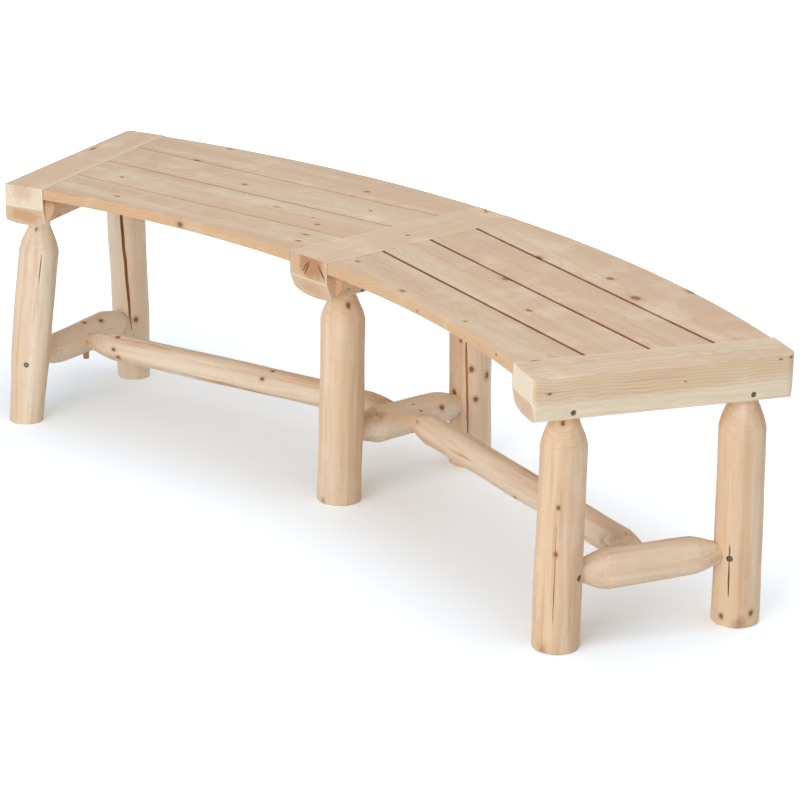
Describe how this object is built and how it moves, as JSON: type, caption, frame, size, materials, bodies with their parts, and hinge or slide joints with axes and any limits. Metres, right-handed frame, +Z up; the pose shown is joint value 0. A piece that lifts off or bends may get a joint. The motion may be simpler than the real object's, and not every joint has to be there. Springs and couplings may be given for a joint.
{
  "type": "curved log bench",
  "caption": "Curved rustic bench: seat boards let into half-log beams on peeled round legs, with rungs and long stretchers tenoned between the legs.",
  "frame": {"origin": "middle of the bench's box in plan, on the floor", "axes": "+X along the bench toward the right end as the sitter's side is faced, +Y from the hollow front edge to the round back edge, +Z up"},
  "size_m": [1.609, 0.548, 0.432],
  "materials": {
    "seat_board": "planed softwood, lightly weathered, bare or thinly sealed",
    "beam_log": "half log with a sawn flat top and a peeled belly, thinly sealed",
    "leg_log": "hand-peeled softwood log, thinly sealed",
    "rung_log": "hand-peeled softwood log, thinly sealed",
    "stretcher_log": "hand-peeled softwood pole, thinly sealed",
    "screw_steel": "plated wood screw"
  },
  "bodies": {
    "root": {"board_left_1": "seat_board", "board_left_2": "seat_board", "board_left_3": "seat_board", "board_left_4": "seat_board", "board_screws_left": "screw_steel", "board_right_1": "seat_board", "board_right_2": "seat_board", "board_right_3": "seat_board", "board_right_4": "seat_board", "board_screws_right": "screw_steel", "beam_left": "beam_log", "leg_left_front": "leg_log", "leg_left_back": "leg_log", "rung_left": "rung_log", "beam_middle": "beam_log", "leg_middle_front": "leg_log", "leg_middle_back": "leg_log", "rung_middle": "rung_log", "beam_right": "beam_log", "leg_right_front": "leg_log", "leg_right_back": "leg_log", "rung_right": "rung_log", "stretcher_left": "stretcher_log", "stretcher_right": "stretcher_log", "leg_tenon_screws": "screw_steel", "rung_tenon_screws": "screw_steel", "stretcher_tenon_screws": "screw_steel"}
  },
  "joints": []
}
